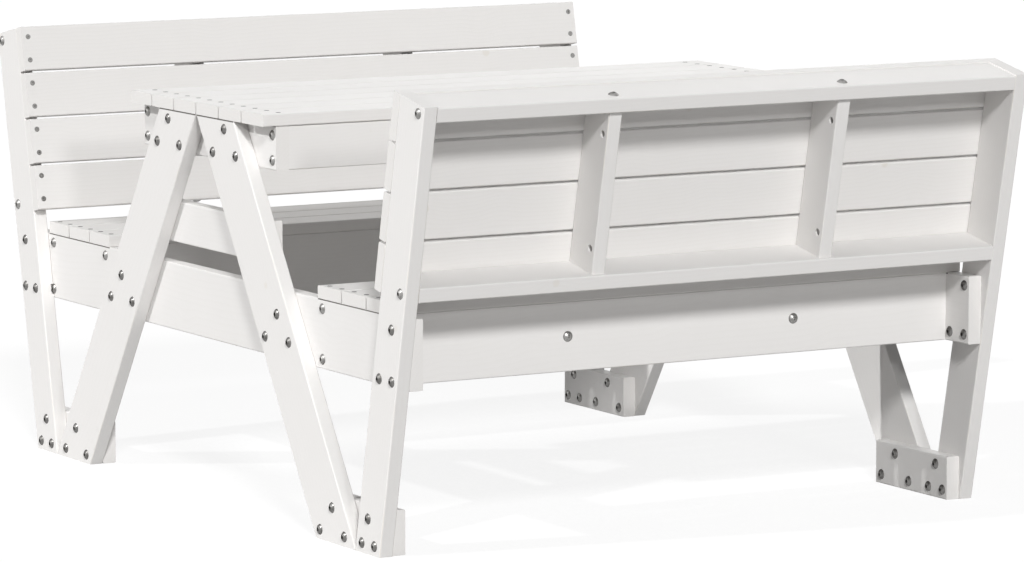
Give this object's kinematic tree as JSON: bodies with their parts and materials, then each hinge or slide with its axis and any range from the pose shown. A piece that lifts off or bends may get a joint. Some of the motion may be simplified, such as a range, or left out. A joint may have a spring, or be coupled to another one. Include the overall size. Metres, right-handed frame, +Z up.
{
  "type": "kids picnic table",
  "caption": "Child-size picnic table in white-painted wood: a slatted top between slatted benches with leaning backs, on bolted A-frame ends.",
  "frame": {"origin": "on the ground, under the middle of the table", "axes": "+X along the table and the benches, +Y across them from one bench to the other, +Z up"},
  "size_m": [1.0074, 1.3806, 0.658],
  "materials": {
    "painted_wood": "white satin paint over planed softwood",
    "zinc_steel": "zinc-plated steel"
  },
  "bodies": {
    "root": {"leg_left_front": "painted_wood", "leg_left_rear": "painted_wood", "leg_right_front": "painted_wood", "leg_right_rear": "painted_wood", "post_left_front": "painted_wood", "post_left_rear": "painted_wood", "post_right_front": "painted_wood", "post_right_rear": "painted_wood", "foot_plate_left_front": "painted_wood", "foot_plate_left_rear": "painted_wood", "foot_plate_right_front": "painted_wood", "foot_plate_right_rear": "painted_wood", "seat_beam_left": "painted_wood", "seat_beam_right": "painted_wood", "collar_tie_left": "painted_wood", "collar_tie_right": "painted_wood", "table_batten_left": "painted_wood", "table_batten_right": "painted_wood", "table_apron_front": "painted_wood", "table_apron_rear": "painted_wood", "table_cross_battens": "painted_wood", "table_slat_1": "painted_wood", "table_slat_2": "painted_wood", "table_slat_3": "painted_wood", "table_slat_4": "painted_wood", "table_slat_5": "painted_wood", "table_slat_6": "painted_wood", "seat_apron_front": "painted_wood", "seat_apron_rear": "painted_wood", "seat_rail_front": "painted_wood", "seat_rail_rear": "painted_wood", "seat_bearers": "painted_wood", "seat_slat_front_1": "painted_wood", "seat_slat_front_2": "painted_wood", "seat_slat_front_3": "painted_wood", "seat_slat_rear_1": "painted_wood", "seat_slat_rear_2": "painted_wood", "seat_slat_rear_3": "painted_wood", "back_top_rail_front": "painted_wood", "back_top_rail_rear": "painted_wood", "back_bottom_rail_front": "painted_wood", "back_bottom_rail_rear": "painted_wood", "back_stile_front_left": "painted_wood", "back_stile_front_right": "painted_wood", "back_stile_rear_left": "painted_wood", "back_stile_rear_right": "painted_wood", "back_slat_front_1": "painted_wood", "back_slat_front_2": "painted_wood", "back_slat_front_3": "painted_wood", "back_slat_front_4": "painted_wood", "back_slat_rear_1": "painted_wood", "back_slat_rear_2": "painted_wood", "back_slat_rear_3": "painted_wood", "back_slat_rear_4": "painted_wood", "frame_bolts": "zinc_steel", "sleeve_nuts": "zinc_steel", "end_bolts": "zinc_steel", "cross_dowels": "zinc_steel", "slat_screws": "zinc_steel", "tie_screws": "zinc_steel"}
  },
  "joints": []
}
